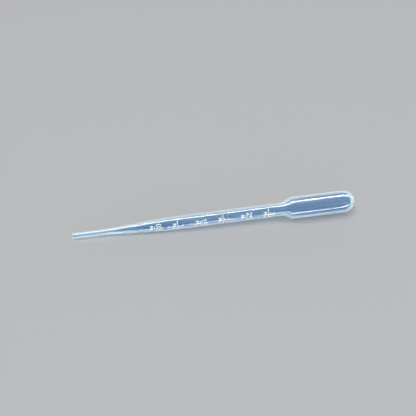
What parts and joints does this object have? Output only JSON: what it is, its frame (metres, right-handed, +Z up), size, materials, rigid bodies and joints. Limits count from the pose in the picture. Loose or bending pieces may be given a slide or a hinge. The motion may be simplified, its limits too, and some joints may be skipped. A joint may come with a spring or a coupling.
{
  "type": "dropper pipette",
  "caption": "Soft one-piece plastic dropper with a long tapered tip, a graduated straight stem and a squeeze bulb with a round end, lying on its side.",
  "frame": {"origin": "on the ground under the middle of the dropper's bounding box", "axes": "+X from the tip towards the bulb along the ground, +Y to the side away from the graduations, +Z up; the dropper lies on its bulb and on the start of its stem, with its axis rising about 2 degrees towards the bulb"},
  "size_m": [0.164, 0.0126, 0.0137],
  "materials": {
    "natural_polyethylene": "satin"
  },
  "bodies": {
    "root": {"dropper_pipette": "natural_polyethylene"}
  },
  "joints": []
}
